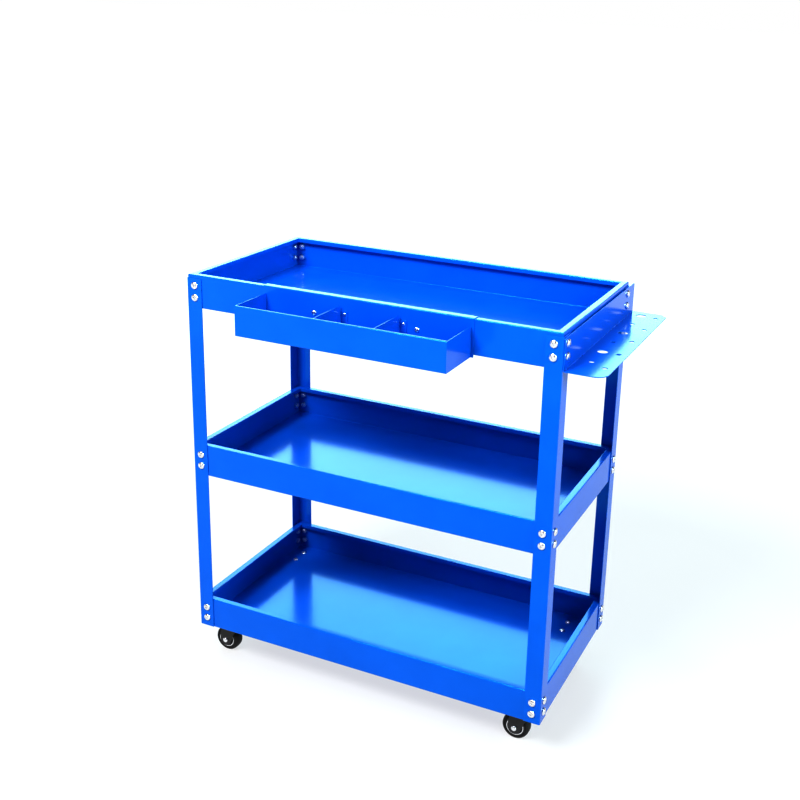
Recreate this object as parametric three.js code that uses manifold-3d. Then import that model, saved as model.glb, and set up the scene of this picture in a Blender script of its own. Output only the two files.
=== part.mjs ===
// Open three-tier rolling tool cart: three folded sheet-steel trays between four corner angles, a hung
// parts tray on the front, a screwdriver rack on the right side and four swivel casters.
// Millimetres, +Z up. Left and right are seen from the front, which faces -Y.

import * as THREE from 'three';
import { mergeVertices } from 'three/addons/utils/BufferGeometryUtils.js';
import Module from 'manifold-3d';

const wasm = await Module();
wasm.setup();

// ---- Driving dimensions ----------------------------------------------------------------------------

const CART_WIDTH = 700;            // over the posts, along X
const CART_DEPTH = 362;            // over the posts, along Y
const FIT_GAP = 0.3;               // between pieces that touch

const POST_LENGTH = 694;
const POST_LEG = 30;               // each leg of the corner angle
const POST_SHEET = 1.5;
const POST_FOOT_RISE = 1;          // post ends above the underside of the bottom tray

const TRAY_HEIGHT = 60;
const TRAY_SHEET = 1;
const RIM_WIDTH = 12.5;            // inward flange along the top of each wall
const RIM_LIP = 8;                 // return lip folded down from the flange
const MIDDLE_TRAY_RISE = 319;      // from the bottom tray's underside to the middle tray's
const TOP_RIM_RISE = 6;            // the top tray's rim above the post ends
const SHEET_BEND = 1;              // inner radius of the tray bends
const POST_BEND = 0.5;             // inner radius of the post bends
const BEND_STEPS = 2;              // straight steps in each bend

const SCREW_RADIUS = 3;
const SCREW_HOLE_RADIUS = 3.5;
const SCREW_HEAD_RADIUS = 6.75;
const SCREW_HEAD_HEIGHT = 3.4;
const NUT_RADIUS = 5.7;            // over the corners
const NUT_HEIGHT = 5;
const SCREW_TIP = 1.5;             // thread that stands out of the nut
const SCREW_INSET = 16;            // from the post's outer corner
const SCREW_DROPS = [19, 41];      // below each tray's rim

const PARTS_WIDTH = 382;
const PARTS_DEPTH = 92;            // from the posts' front plane to the tray's front face
const PARTS_HEIGHT = 52;
const PARTS_OFFSET = 5;            // right of the cart's middle
const PARTS_DROP = 12;             // from the rim down to the tray's top edge
const PARTS_SHEET = 1;
const PARTS_HEM = 4;               // stiffening fold along the front wall's top edge
const BACK_OVERLAP = 5;            // the back plate stands out past each side wall
const HOOK_LIP = 6;
const DIVIDER_SPOTS = [-45, 64];   // from the parts tray's middle
const DIVIDER_TAB = 14;
const DIVIDER_TAB_DROP = 8;        // tab's top and bottom inside the divider's edges
const PARTS_SCREW_SPOT = 96;       // each side of the parts tray's middle
const PARTS_SCREW_RISE = 31;       // above the parts tray's underside
const PARTS_SCREW_RADIUS = 2.5;
const PARTS_SCREW_HOLE_RADIUS = 3;
const PARTS_SCREW_HEAD_RADIUS = 4.5;
const PARTS_SCREW_HEAD_HEIGHT = 2.4;
const PARTS_NUT_RADIUS = 4.6;
const PARTS_NUT_HEIGHT = 4;

const RACK_WIDTH = 68;             // shelf, out from the posts
const RACK_LENGTH = 388;
const RACK_FRONT_INSET = 2;        // shelf's front edge behind the posts' front plane
const RACK_SHEET = 1.5;
const RACK_FLANGE_HEIGHT = 55;
const RACK_DROP = 1.5;             // shelf's top below the top tray's underside
const RACK_CORNER_RADIUS = 20;
const RACK_REAR_CUT = 12;
const RACK_SMALL_HOLE_RADIUS = 4.5;
const RACK_LARGE_HOLE_RADIUS = 9;
const RACK_OUTER_ROW = 53;         // from the posts' side plane
const RACK_INNER_ROW = 25;
const RACK_OUTER_START = 47;       // first hole, from the shelf's front edge
const RACK_OUTER_PITCH = 77.5;
const RACK_OUTER_COUNT = 5;
const RACK_INNER_START = 68;
const RACK_INNER_PITCH = 59;
const RACK_INNER_COUNT = 6;        // small and large in turn

const CASTER_INSET_X = 45;         // kingpin from the posts' outer planes
const CASTER_INSET_Y = 47;
const CASTER_TRAIL = 12;
const PLATE_SIDE = 48;
const PLATE_SHEET = 2.5;
const PLATE_CORNER = 5;
const PLATE_HOLE_PITCH = 33;
const PLATE_HOLE_RADIUS = 3.3;
const KINGPIN_RADIUS = 5;
const KINGPIN_HEAD_RADIUS = 8;
const KINGPIN_HEAD_HEIGHT = 2.5;
const RACE_RADIUS = 17;
const RACE_HEIGHT = 6;
const RACE_CHAMFER = 1.5;
const CROWN_RADIUS = 18;
const CROWN_NOSE = 14.4;           // crown's flat front edge ahead of the kingpin
const FORK_SHEET = 2.5;
const FORK_FOOT_RADIUS = 12;
const FORK_FOOT_END = -Math.PI / 9;      // direction from the axle where the foot's round end stops
const WHEEL_RADIUS = 25;
const CROWN_CLEARANCE = 8.1;       // between the tyre and the fork's crown, for the kingpin's head
const TYRE_WIDTH = 20;
const TYRE_THICKNESS = 5.5;
const TYRE_SHOULDER = 2;
const HUB_WIDTH = 21;
const HUB_BOSS_RADIUS = 7;
const HUB_WEB_RECESS = 3;
const HUB_RIM_THICKNESS = 3;
const WHEEL_SIDE_PLAY = 1.5;       // between the hub's boss and each fork leg
const AXLE_RADIUS = 3;
const AXLE_HOLE_RADIUS = 3.5;
const AXLE_HEAD_RADIUS = 5;
const AXLE_HEAD_HEIGHT = 3;
const AXLE_NUT_HEIGHT = 4.5;

const HOLE_SIDES = 6;              // facets of a screw hole
const NUT_SIDES = 6;
const SCREW_SIDES = 8;
const AXLE_SIDES = 10;
const FORK_ARC_STEPS = 4;
const ROUND_SIDES = 12;            // facets of a small turned piece
const LARGE_HOLE_SIDES = 16;
const WHEEL_SIDES = 24;            // facets of the tyre and hub

// A domed head's shoulder and edge, as shares of its radius and height.
const DOME_SHOULDER_RADIUS = 0.6;
const DOME_SHOULDER_HEIGHT = 0.85;
const DOME_EDGE_HEIGHT = 0.3;

const WELD_TOLERANCE = 1e-4;       // corners closer than this become one
const CUT_OVERRUN = 1;             // a cutter past the face that it cuts
const SEAT_OVERRUN = 0.01;         // the same for a countersink, whose slope it would shift

// ---- Levels and planes that follow from them ---------------------------------------------------------

// Heights inside a caster, from the floor up.
const crownFoot = 2 * WHEEL_RADIUS + CROWN_CLEARANCE;
const crownTop = crownFoot + FORK_SHEET;
const raceFoot = crownTop + FIT_GAP;
const raceTop = raceFoot + RACE_HEIGHT;
const plateFoot = raceTop + FIT_GAP;
const plateTop = plateFoot + PLATE_SHEET;

const bottomTrayLevel = plateTop + FIT_GAP;
const middleTrayLevel = bottomTrayLevel + MIDDLE_TRAY_RISE;
const postFootLevel = bottomTrayLevel + POST_FOOT_RISE;
const postTopLevel = postFootLevel + POST_LENGTH;
const topRimLevel = postTopLevel + TOP_RIM_RISE;
const topTrayLevel = topRimLevel - TRAY_HEIGHT;
const trayLevels = { bottom: bottomTrayLevel, middle: middleTrayLevel, top: topTrayLevel };

const wallInset = POST_SHEET + FIT_GAP;          // tray wall's outer face behind the posts' outer plane
const trayHalfX = CART_WIDTH / 2 - wallInset;
const trayHalfY = CART_DEPTH / 2 - wallInset;
const trayBend = SHEET_BEND + TRAY_SHEET;        // outer radius of a tray bend

// ---- Materials ---------------------------------------------------------------------------------------

const bluePaint = new THREE.MeshStandardMaterial({ color: 0x0a5cf0, roughness: 0.3, metalness: 0.1 });
const zinc = new THREE.MeshStandardMaterial({ color: 0xc9ccd0, roughness: 0.35, metalness: 0.9 });
const blackSteel = new THREE.MeshStandardMaterial({ color: 0x17181a, roughness: 0.4, metalness: 0.5 });
const blackPlastic = new THREE.MeshStandardMaterial({ color: 0x141414, roughness: 0.5, metalness: 0 });
const blackRubber = new THREE.MeshStandardMaterial({ color: 0x0d0d0d, roughness: 0.75, metalness: 0 });

// ---- Shape helpers -----------------------------------------------------------------------------------

function solidOf(geometry) {
  const source = geometry.clone();
  source.deleteAttribute('normal');
  source.deleteAttribute('uv');
  const merged = mergeVertices(source, WELD_TOLERANCE);
  return new wasm.Manifold(new wasm.Mesh({
    numProp: 3,
    vertProperties: Float32Array.from(merged.attributes.position.array),
    triVerts: Uint32Array.from(merged.index.array),
  }));
}

function geometryOf(solid) {
  const mesh = solid.getMesh();
  const geometry = new THREE.BufferGeometry();
  geometry.setAttribute('position', new THREE.BufferAttribute(Float32Array.from(mesh.vertProperties), 3));
  geometry.setIndex(new THREE.BufferAttribute(Uint32Array.from(mesh.triVerts), 1));
  geometry.computeVertexNormals();
  return geometry;
}

function join(first, ...others) {
  return others.reduce((whole, piece) => whole.add(piece), first);
}

function cut(whole, cutters) {
  return cutters.reduce((rest, cutter) => rest.subtract(cutter), whole);
}

// A block between two opposite corners.
function block([x0, y0, z0], [x1, y1, z1]) {
  const geometry = new THREE.BoxGeometry(x1 - x0, y1 - y0, z1 - z0);
  geometry.translate((x0 + x1) / 2, (y0 + y1) / 2, (z0 + z1) / 2);
  return solidOf(geometry);
}

// A round bar along X, Y or Z, centred on a point.
function bar(axis, [x, y, z], radius, length, sides = HOLE_SIDES, endRadius = radius) {
  const geometry = new THREE.CylinderGeometry(endRadius, radius, length, sides);
  if (axis === 'x') geometry.rotateZ(-Math.PI / 2);
  if (axis === 'z') geometry.rotateX(Math.PI / 2);
  geometry.translate(x, y, z);
  return solidOf(geometry);
}

// A turned piece about the local Y axis, from [radius, height] points that go round it closed.
function turned(points, sides) {
  return new THREE.LatheGeometry(points.map(([r, h]) => new THREE.Vector2(r, h)), sides);
}

// Half the section of a domed head, from the middle of its crown to the edge of its flat face. A negative
// height points the head the other way.
function domedHead(radius, level, height) {
  return [
    [0, level + height], [radius * DOME_SHOULDER_RADIUS, level + height * DOME_SHOULDER_HEIGHT],
    [radius, level + height * DOME_EDGE_HEIGHT], [radius, level],
  ];
}

// The closed section of a folded sheet. The corners are the sharp corners of one face; the sheet lies
// to the right of the path, and each bend has the given inner radius.
function foldedSection(corners, sheet, innerRadius) {
  const points = corners.map(([x, y]) => new THREE.Vector2(x, y));
  const heading = (i) => points[i + 1].clone().sub(points[i]).normalize();
  const rightOf = (v) => new THREE.Vector2(v.y, -v.x);
  const nearFace = [points[0]];
  const farFace = [points[0].clone().addScaledVector(rightOf(heading(0)), sheet)];
  for (let i = 1; i < points.length - 1; i += 1) {
    const before = heading(i - 1);
    const after = heading(i);
    const turnsRight = before.cross(after) < 0;
    const side = turnsRight ? 1 : -1;
    const nearRadius = turnsRight ? innerRadius + sheet : innerRadius;
    const farRadius = turnsRight ? innerRadius : innerRadius + sheet;
    const centre = points[i].clone()
      .addScaledVector(rightOf(before), side * nearRadius)
      .addScaledVector(rightOf(after), side * nearRadius);
    for (let step = 0; step <= BEND_STEPS; step += 1) {
      const turn = (side * -Math.PI / 2) * (step / BEND_STEPS);
      const outward = rightOf(before).multiplyScalar(-side).rotateAround(new THREE.Vector2(), turn);
      nearFace.push(centre.clone().addScaledVector(outward, nearRadius));
      farFace.push(centre.clone().addScaledVector(outward, farRadius));
    }
  }
  const last = points.length - 1;
  nearFace.push(points[last]);
  farFace.push(points[last].clone().addScaledVector(rightOf(heading(last - 1)), sheet));
  return [...nearFace, ...farFace.reverse()];
}

// A section (across, up) carried round a rectangle with mitred corners; across points inwards.
function mitredFrame(section, halfX, halfY) {
  const corners = [[1, 1], [-1, 1], [-1, -1], [1, -1]];
  const positions = corners.flatMap(([sx, sy]) =>
    section.flatMap(({ x: across, y: up }) => [sx * (halfX - across), sy * (halfY - across), up]));
  const count = section.length;
  const index = [];
  corners.forEach((_, corner) => {
    const here = corner * count;
    const there = ((corner + 1) % corners.length) * count;
    section.forEach((__, i) => {
      const next = (i + 1) % count;
      index.push(here + i, there + next, here + next, here + i, there + i, there + next);
    });
  });
  const geometry = new THREE.BufferGeometry();
  geometry.setAttribute('position', new THREE.Float32BufferAttribute(positions, 3));
  geometry.setIndex(index);
  return new wasm.Manifold(new wasm.Mesh({
    numProp: 3,
    vertProperties: Float32Array.from(geometry.attributes.position.array),
    triVerts: Uint32Array.from(geometry.index.array),
  }));
}

// An outline in XY, extruded up from a level.
function slab(shape, level, thickness, curveSteps = 3) {
  const geometry = new THREE.ExtrudeGeometry(shape, {
    depth: thickness, bevelEnabled: false, curveSegments: curveSteps,
  });
  geometry.translate(0, 0, level);
  return solidOf(geometry);
}

// A section drawn in (X, Z) extruded along +Y from y0 to y1.
function extrudedAlongY(section, y0, y1) {
  const depth = y1 - y0;
  const geometry = new THREE.ExtrudeGeometry(new THREE.Shape(section), { depth, bevelEnabled: false });
  geometry.rotateX(Math.PI / 2);
  geometry.translate(0, y1, 0);
  return solidOf(geometry);
}

// A section drawn in (Y, Z) extruded along +X from x0 to x1.
function extrudedAlongX(section, x0, x1) {
  const depth = x1 - x0;
  const geometry = new THREE.ExtrudeGeometry(new THREE.Shape(section), { depth, bevelEnabled: false });
  geometry.rotateX(Math.PI / 2);
  geometry.rotateZ(Math.PI / 2);
  geometry.translate(x0, 0, 0);
  return solidOf(geometry);
}

const cart = new THREE.Group();

function addNode(name, geometry, material) {
  const mesh = new THREE.Mesh(geometry, material);
  mesh.name = name;
  cart.add(mesh);
  return mesh;
}

// ---- Corner posts ------------------------------------------------------------------------------------

// Each corner's place in the cart, and the turn that brings a front-left post there.
const cornerSides = {
  front_left: { sx: -1, sy: -1, turn: 0 },
  front_right: { sx: 1, sy: -1, turn: Math.PI / 2 },
  rear_right: { sx: 1, sy: 1, turn: Math.PI },
  rear_left: { sx: -1, sy: 1, turn: -Math.PI / 2 },
};

// Heights of the six screw rows, above the floor.
const screwLevels = Object.values(trayLevels).flatMap((level) =>
  SCREW_DROPS.map((drop) => level + TRAY_HEIGHT - drop));

function postGeometry() {
  const section = foldedSection([[POST_LEG, 0], [0, 0], [0, POST_LEG]], POST_SHEET, POST_BEND);
  const angle = slab(new THREE.Shape(section), 0, POST_LENGTH);
  const reach = 4 * POST_SHEET;
  const holes = screwLevels.flatMap((level) => [
    bar('y', [SCREW_INSET, 0, level - postFootLevel], SCREW_HOLE_RADIUS, reach),
    bar('x', [0, SCREW_INSET, level - postFootLevel], SCREW_HOLE_RADIUS, reach),
  ]);
  return geometryOf(cut(angle, holes));
}

const post = postGeometry();
for (const [corner, { sx, sy, turn }] of Object.entries(cornerSides)) {
  const mesh = addNode(`post_${corner}`, post, bluePaint);
  mesh.position.set(sx * CART_WIDTH / 2, sy * CART_DEPTH / 2, postFootLevel);
  mesh.rotation.z = turn;
}

// ---- Trays -------------------------------------------------------------------------------------------

const kingpinX = CART_WIDTH / 2 - CASTER_INSET_X;
const kingpinY = CART_DEPTH / 2 - CASTER_INSET_Y;

// The tray's bolt holes: two bolts hold each caster plate, through the holes on its left side.
const plateHoles = Object.values(cornerSides).flatMap(({ sx, sy }) =>
  [-1, 1].map((hy) => [
    sx * kingpinX - PLATE_HOLE_PITCH / 2,
    sy * kingpinY + hy * PLATE_HOLE_PITCH / 2,
  ]));

// The parts tray's fixing screws: X of each, and their level above the floor.
const partsTopLevel = topRimLevel - PARTS_DROP;
const partsUnderside = partsTopLevel - PARTS_HEIGHT;
const partsScrewLevel = partsUnderside + PARTS_SCREW_RISE;
const partsScrewXs = [PARTS_OFFSET - PARTS_SCREW_SPOT, PARTS_OFFSET + PARTS_SCREW_SPOT];

function trayGeometry(extraHoles) {
  const floorJoin = 3 * trayBend;
  const section = foldedSection(
    [[floorJoin, 0], [0, 0], [0, TRAY_HEIGHT], [RIM_WIDTH, TRAY_HEIGHT], [RIM_WIDTH, TRAY_HEIGHT - RIM_LIP]],
    TRAY_SHEET, SHEET_BEND,
  );
  const walls = mitredFrame(section, trayHalfX, trayHalfY);
  const floorX = trayHalfX - 2 * trayBend;
  const floorY = trayHalfY - 2 * trayBend;
  const pan = join(walls, block([-floorX, -floorY, 0], [floorX, floorY, TRAY_SHEET]));
  const holeX = CART_WIDTH / 2 - SCREW_INSET;
  const holeY = CART_DEPTH / 2 - SCREW_INSET;
  const reach = 4 * trayBend;
  const holes = SCREW_DROPS.flatMap((drop) => Object.values(cornerSides).flatMap(({ sx, sy }) => [
    bar('y', [sx * holeX, sy * trayHalfY, TRAY_HEIGHT - drop], SCREW_HOLE_RADIUS, reach),
    bar('x', [sx * trayHalfX, sy * holeY, TRAY_HEIGHT - drop], SCREW_HOLE_RADIUS, reach),
  ]));
  return geometryOf(cut(pan, [...holes, ...extraHoles]));
}

const boltHoles = plateHoles.map(([x, y]) => bar('z', [x, y, 0], PLATE_HOLE_RADIUS, 4 * TRAY_SHEET));
const partsHoles = partsScrewXs.map((x) =>
  bar('y', [x, -trayHalfY, partsScrewLevel - topTrayLevel], PARTS_SCREW_HOLE_RADIUS, 4 * trayBend));
const trayExtraHoles = { bottom: boltHoles, middle: [], top: partsHoles };

for (const [tier, level] of Object.entries(trayLevels)) {
  addNode(`${tier}_tray`, trayGeometry(trayExtraHoles[tier]), bluePaint).position.z = level;
}

// ---- Parts tray, hung on the front of the top tray ----------------------------------------------------

const partsFrontY = -CART_DEPTH / 2 - PARTS_DEPTH;
const partsBackY = -trayHalfY - FIT_GAP;           // back plate's rear face, in front of the tray wall
const hookLevel = topRimLevel + FIT_GAP;
const hookLipY = -trayHalfY + RIM_WIDTH + FIT_GAP;
const partsLeftX = PARTS_OFFSET - PARTS_WIDTH / 2;
const partsRightX = PARTS_OFFSET + PARTS_WIDTH / 2;

function partsTrayGeometry() {
  const weldY = partsBackY - PARTS_SHEET / 2;      // the pan ends inside the back plate's thickness
  const pan = extrudedAlongX(foldedSection([
    [weldY, partsUnderside], [partsFrontY, partsUnderside],
    [partsFrontY, partsTopLevel], [partsFrontY + PARTS_HEM, partsTopLevel],
  ], PARTS_SHEET, SHEET_BEND), partsLeftX, partsRightX);
  const backPlate = extrudedAlongX(foldedSection([
    [hookLipY, hookLevel - HOOK_LIP], [hookLipY, hookLevel],
    [partsBackY, hookLevel], [partsBackY, partsUnderside],
  ], PARTS_SHEET, SHEET_BEND), partsLeftX - BACK_OVERLAP, partsRightX + BACK_OVERLAP);
  const bend = SHEET_BEND + PARTS_SHEET;
  const edge = PARTS_SHEET / 2;                    // the sides' edges end inside the folded sheet's thickness
  const sideOutline = [
    [weldY, partsUnderside + edge], [partsFrontY + bend, partsUnderside + edge],
    [partsFrontY + edge, partsUnderside + bend], [partsFrontY + edge, partsTopLevel - bend],
    [partsFrontY + bend, partsTopLevel - edge], [weldY, partsTopLevel - edge],
  ].map(([y, z]) => new THREE.Vector2(y, z));
  const sides = [partsLeftX, partsRightX - PARTS_SHEET].map((x) =>
    extrudedAlongX(sideOutline, x, x + PARTS_SHEET));
  const holes = partsScrewXs.map((x) =>
    bar('y', [x, partsBackY, partsScrewLevel], PARTS_SCREW_HOLE_RADIUS, 4 * PARTS_SHEET));
  return geometryOf(cut(join(pan, backPlate, ...sides), holes));
}

addNode('parts_tray_body', partsTrayGeometry(), bluePaint);

// A divider stands between front and back wall, with a tab bent along the back wall.
function dividerGeometry() {
  const front = partsFrontY + PARTS_SHEET + FIT_GAP;
  const back = partsBackY - PARTS_SHEET - FIT_GAP;
  const foot = partsUnderside + PARTS_SHEET + FIT_GAP;
  const underHem = partsTopLevel - PARTS_SHEET - FIT_GAP;
  const bendClearance = SHEET_BEND + PARTS_SHEET;
  const wall = block([0, front, foot], [PARTS_SHEET, back, partsTopLevel]);
  const room = (y0, z0, y1, z1) => block([-CUT_OVERRUN, y0, z0], [PARTS_SHEET + CUT_OVERRUN, y1, z1]);
  const rooms = [
    room(front - CUT_OVERRUN, underHem, partsFrontY + PARTS_HEM + FIT_GAP, partsTopLevel + CUT_OVERRUN),
    room(front - CUT_OVERRUN, foot - CUT_OVERRUN, front + bendClearance, foot + bendClearance),
    room(back - bendClearance, foot - CUT_OVERRUN, back + CUT_OVERRUN, foot + bendClearance),
  ];
  const tab = block(
    [0, back - PARTS_SHEET, foot + DIVIDER_TAB_DROP],
    [DIVIDER_TAB, back, partsTopLevel - DIVIDER_TAB_DROP],
  );
  return geometryOf(join(cut(wall, rooms), tab));
}

['left', 'right'].forEach((side, i) => {
  const divider = addNode(`parts_tray_divider_${side}`, dividerGeometry(), bluePaint);
  divider.position.x = PARTS_OFFSET + DIVIDER_SPOTS[i];
});

// ---- Screwdriver rack, on the right side ---------------------------------------------------------------

const rackInnerX = CART_WIDTH / 2 + FIT_GAP;
const rackOuterX = CART_WIDTH / 2 + RACK_WIDTH;
const rackShelfTop = topTrayLevel - RACK_DROP;
const rackFrontY = -CART_DEPTH / 2 + RACK_FRONT_INSET;
const rackRearY = rackFrontY + RACK_LENGTH;

function rackHoles() {
  const outer = Array.from({ length: RACK_OUTER_COUNT }, (_, i) => ({
    x: CART_WIDTH / 2 + RACK_OUTER_ROW,
    y: rackFrontY + RACK_OUTER_START + i * RACK_OUTER_PITCH,
    radius: RACK_SMALL_HOLE_RADIUS,
    sides: ROUND_SIDES,
  }));
  const inner = Array.from({ length: RACK_INNER_COUNT }, (_, i) => ({
    x: CART_WIDTH / 2 + RACK_INNER_ROW,
    y: rackFrontY + RACK_INNER_START + i * RACK_INNER_PITCH,
    radius: i % 2 === 0 ? RACK_SMALL_HOLE_RADIUS : RACK_LARGE_HOLE_RADIUS,
    sides: i % 2 === 0 ? ROUND_SIDES : LARGE_HOLE_SIDES,
  }));
  return [...outer, ...inner];
}

function rackGeometry() {
  const bendReach = POST_BEND + RACK_SHEET;
  const outline = new THREE.Shape();
  outline.moveTo(rackInnerX + bendReach, rackRearY);
  outline.lineTo(rackInnerX + bendReach, rackFrontY);
  outline.absarc(
    rackOuterX - RACK_CORNER_RADIUS, rackFrontY + RACK_CORNER_RADIUS, RACK_CORNER_RADIUS, -Math.PI / 2, 0);
  outline.lineTo(rackOuterX, rackRearY - RACK_REAR_CUT);
  outline.lineTo(rackOuterX - RACK_REAR_CUT, rackRearY);
  const shelfFoot = rackShelfTop - RACK_SHEET;
  const shelf = slab(outline, shelfFoot, RACK_SHEET);
  const angle = extrudedAlongY(foldedSection([
    [rackInnerX + 2 * bendReach, shelfFoot], [rackInnerX, shelfFoot],
    [rackInnerX, shelfFoot + RACK_FLANGE_HEIGHT],
  ], RACK_SHEET, POST_BEND), rackFrontY, rackRearY);
  const toolHoles = rackHoles().map(({ x, y, radius, sides }) =>
    bar('z', [x, y, rackShelfTop], radius, 4 * RACK_SHEET, sides));
  const screwY = CART_DEPTH / 2 - SCREW_INSET;
  const screwHoles = SCREW_DROPS.flatMap((drop) => [-screwY, screwY].map((y) =>
    bar('x', [rackInnerX, y, topRimLevel - drop], SCREW_HOLE_RADIUS, 6 * RACK_SHEET)));
  return geometryOf(cut(join(shelf, angle), [...toolHoles, ...screwHoles]));
}

addNode('screwdriver_rack', rackGeometry(), bluePaint);

// ---- Screws ------------------------------------------------------------------------------------------

// A round-head screw with its nut, as one solid. The head's underside is at the origin, the head points
// along +Y and the grip is the thickness that it clamps.
function screwGeometry(grip, { radius, headRadius, headHeight, nutRadius, nutHeight }) {
  const nutTop = -grip;
  const tip = nutTop - nutHeight - SCREW_TIP;
  const profile = [...domedHead(headRadius, 0, headHeight), [radius, 0], [radius, tip], [0, tip]];
  const shaft = solidOf(turned(profile.reverse(), SCREW_SIDES));
  const nut = bar('y', [0, nutTop - nutHeight / 2, 0], nutRadius, nutHeight, NUT_SIDES);
  return geometryOf(join(shaft, nut));
}

const cornerScrew = {
  radius: SCREW_RADIUS, headRadius: SCREW_HEAD_RADIUS, headHeight: SCREW_HEAD_HEIGHT,
  nutRadius: NUT_RADIUS, nutHeight: NUT_HEIGHT,
};
const cornerGrip = wallInset + TRAY_SHEET + 2 * FIT_GAP;
const rackGrip = cornerGrip + RACK_SHEET + FIT_GAP;

// Only the top tray's screws are nodes of their own; the other corners have the same holes.
for (const [corner, { sx, sy }] of Object.entries(cornerSides)) {
  const onRack = sx > 0;
  const facePlane = CART_DEPTH / 2 + FIT_GAP;
  const sidePlane = CART_WIDTH / 2 + FIT_GAP + (onRack ? RACK_SHEET + FIT_GAP : 0);
  SCREW_DROPS.forEach((drop, row) => {
    const level = topRimLevel - drop;
    const place = row === 0 ? 'upper' : 'lower';
    const faceScrew = addNode(`screw_${corner}_face_${place}`, screwGeometry(cornerGrip, cornerScrew), zinc);
    faceScrew.position.set(sx * (CART_WIDTH / 2 - SCREW_INSET), sy * facePlane, level);
    faceScrew.rotation.z = sy < 0 ? Math.PI : 0;
    const sideGrip = onRack ? rackGrip : cornerGrip;
    const sideScrew = addNode(`screw_${corner}_side_${place}`, screwGeometry(sideGrip, cornerScrew), zinc);
    sideScrew.position.set(sx * sidePlane, sy * (CART_DEPTH / 2 - SCREW_INSET), level);
    sideScrew.rotation.z = sx < 0 ? Math.PI / 2 : -Math.PI / 2;
  });
}

const partsGrip = PARTS_SHEET + TRAY_SHEET + 3 * FIT_GAP;
const partsScrew = {
  radius: PARTS_SCREW_RADIUS, headRadius: PARTS_SCREW_HEAD_RADIUS, headHeight: PARTS_SCREW_HEAD_HEIGHT,
  nutRadius: PARTS_NUT_RADIUS, nutHeight: PARTS_NUT_HEIGHT,
};
['left', 'right'].forEach((side, i) => {
  const screw = addNode(`parts_tray_screw_${side}`, screwGeometry(partsGrip, partsScrew), zinc);
  screw.position.set(partsScrewXs[i], partsBackY - PARTS_SHEET - FIT_GAP, partsScrewLevel);
  screw.rotation.z = Math.PI;
});

// ---- Casters -----------------------------------------------------------------------------------------

const legInnerY = HUB_WIDTH / 2 + WHEEL_SIDE_PLAY;
const legOuterY = legInnerY + FORK_SHEET;

function plateGeometry() {
  const half = PLATE_SIDE / 2;
  const flat = half - PLATE_CORNER;
  const outline = new THREE.Shape();
  outline.absarc(flat, flat, PLATE_CORNER, 0, Math.PI / 2);
  outline.absarc(-flat, flat, PLATE_CORNER, Math.PI / 2, Math.PI);
  outline.absarc(-flat, -flat, PLATE_CORNER, Math.PI, Math.PI * 1.5);
  outline.absarc(flat, -flat, PLATE_CORNER, -Math.PI / 2, 0);
  const holes = [[-1, -1], [1, -1], [1, 1], [-1, 1]].map(([hx, hy]) => bar(
    'z', [hx * PLATE_HOLE_PITCH / 2, hy * PLATE_HOLE_PITCH / 2, plateTop], PLATE_HOLE_RADIUS, 4 * PLATE_SHEET));
  const seat = bar(
    'z', [0, 0, (plateTop + plateFoot) / 2], KINGPIN_RADIUS + FIT_GAP, PLATE_SHEET + 2 * SEAT_OVERRUN,
    ROUND_SIDES, KINGPIN_HEAD_RADIUS + FIT_GAP);
  return geometryOf(cut(slab(outline, plateFoot, PLATE_SHEET, BEND_STEPS), [...holes, seat]));
}

// The kingpin's countersunk head sits in the plate and its riveted head under the fork's crown.
function kingpinGeometry() {
  const rivetTop = crownFoot - FIT_GAP;
  const geometry = turned([
    ...domedHead(KINGPIN_HEAD_RADIUS, rivetTop, -KINGPIN_HEAD_HEIGHT),
    [KINGPIN_RADIUS, rivetTop], [KINGPIN_RADIUS, plateFoot], [KINGPIN_HEAD_RADIUS, plateTop], [0, plateTop],
  ], ROUND_SIDES);
  geometry.rotateX(Math.PI / 2);
  return geometryOf(solidOf(geometry));
}

function raceGeometry() {
  const bore = KINGPIN_RADIUS + 2 * FIT_GAP;
  const waist = RACE_RADIUS - RACE_CHAMFER;
  const geometry = turned([
    [bore, raceFoot], [waist, raceFoot], [RACE_RADIUS, raceFoot + RACE_CHAMFER],
    [RACE_RADIUS, raceTop - RACE_CHAMFER], [waist, raceTop], [bore, raceTop], [bore, raceFoot],
  ], ROUND_SIDES);
  geometry.rotateX(Math.PI / 2);
  return geometryOf(solidOf(geometry));
}

// The crown's outline: a disc over the ball race, joined to the flat between the two legs.
function crownOutline() {
  const sideTurn = Math.acos(legOuterY / CROWN_RADIUS);     // where the disc leaves the legs' outer faces
  const noseTurn = Math.acos(CROWN_NOSE / CROWN_RADIUS);    // where it leaves the nose
  const outline = new THREE.Shape();
  outline.moveTo(-CROWN_RADIUS, legOuterY);
  outline.lineTo(-CROWN_RADIUS, -legOuterY);
  outline.absarc(0, 0, CROWN_RADIUS, -Math.PI / 2 - sideTurn, -Math.PI / 2 + sideTurn);
  outline.lineTo(CROWN_NOSE, -legOuterY);
  outline.absarc(0, 0, CROWN_RADIUS, -noseTurn, noseTurn);
  outline.lineTo(CROWN_NOSE, legOuterY);
  outline.absarc(0, 0, CROWN_RADIUS, Math.PI / 2 - sideTurn, Math.PI / 2 + sideTurn);
  return outline;
}

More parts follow.
